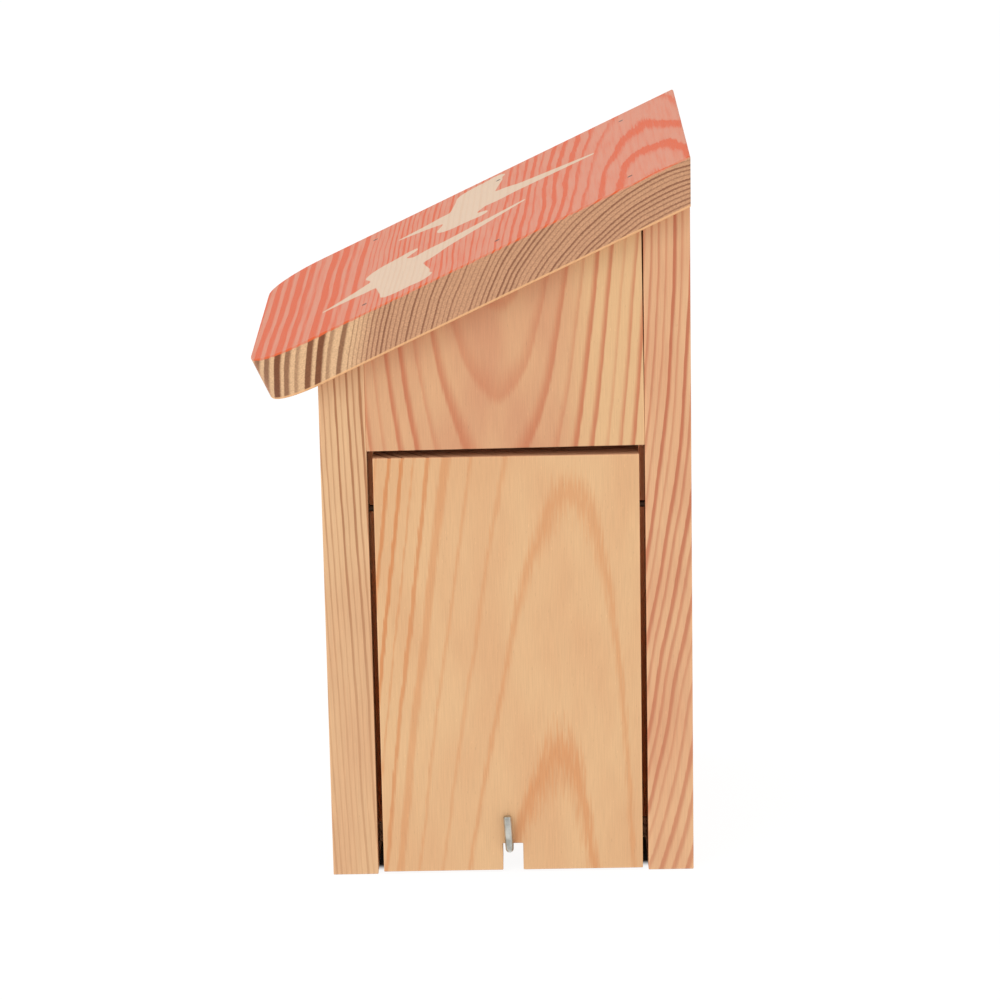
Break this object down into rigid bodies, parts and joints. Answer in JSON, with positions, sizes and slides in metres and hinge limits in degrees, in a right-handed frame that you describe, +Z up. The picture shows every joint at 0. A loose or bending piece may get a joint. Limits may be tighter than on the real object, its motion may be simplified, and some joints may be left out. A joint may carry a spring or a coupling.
{
  "type": "birdhouse",
  "caption": "Nest box of planed boards with a sloping painted roof, a round entrance hole and a side door that swings up on hinge nails and is held shut by a screw hook.",
  "frame": {"origin": "under the middle of the bounding box, in the plane that the foot of the walls stands on", "axes": "+Z up, +X out through the side door, -Y out through the entrance hole, +Y out of the back that goes against a wall or tree"},
  "size_m": [0.176, 0.1896, 0.3216],
  "materials": {
    "painted_wood": "thin coral paint over planed pine, two cream bird shapes, grain showing through",
    "pine": "planed, unpainted",
    "door_pine": "planed, unpainted, paler board",
    "zinc_steel": "zinc plated, slightly dulled",
    "nail_steel": "bright nail steel, dulled"
  },
  "bodies": {
    "house": {"roof_board": "painted_wood", "front_wall": "pine", "back_wall": "pine", "left_side_panel": "pine", "right_upper_panel": "pine", "floor_board": "pine", "front_pivot_nail": "nail_steel", "rear_pivot_nail": "nail_steel", "hanger_plate": "zinc_steel", "hanger_screws": "zinc_steel", "roof_brads": "nail_steel", "front_wall_brads": "nail_steel", "back_wall_brads": "nail_steel"},
    "door": {"side_door": "door_pine"},
    "hook": {"door_hook": "zinc_steel"}
  },
  "joints": [
    {"name": "door_swing", "type": "hinge", "parent": "house", "child": "door", "pos_m": [0.07, 0.01475, 0.166], "axis": [0, -1, 0], "range_deg": [0, 135]},
    {"name": "hook_turn", "type": "hinge", "parent": "house", "child": "hook", "pos_m": [0.06, 0.01325, 0.011], "axis": [1, 0, 0], "range_deg": [0, 180]}
  ]
}
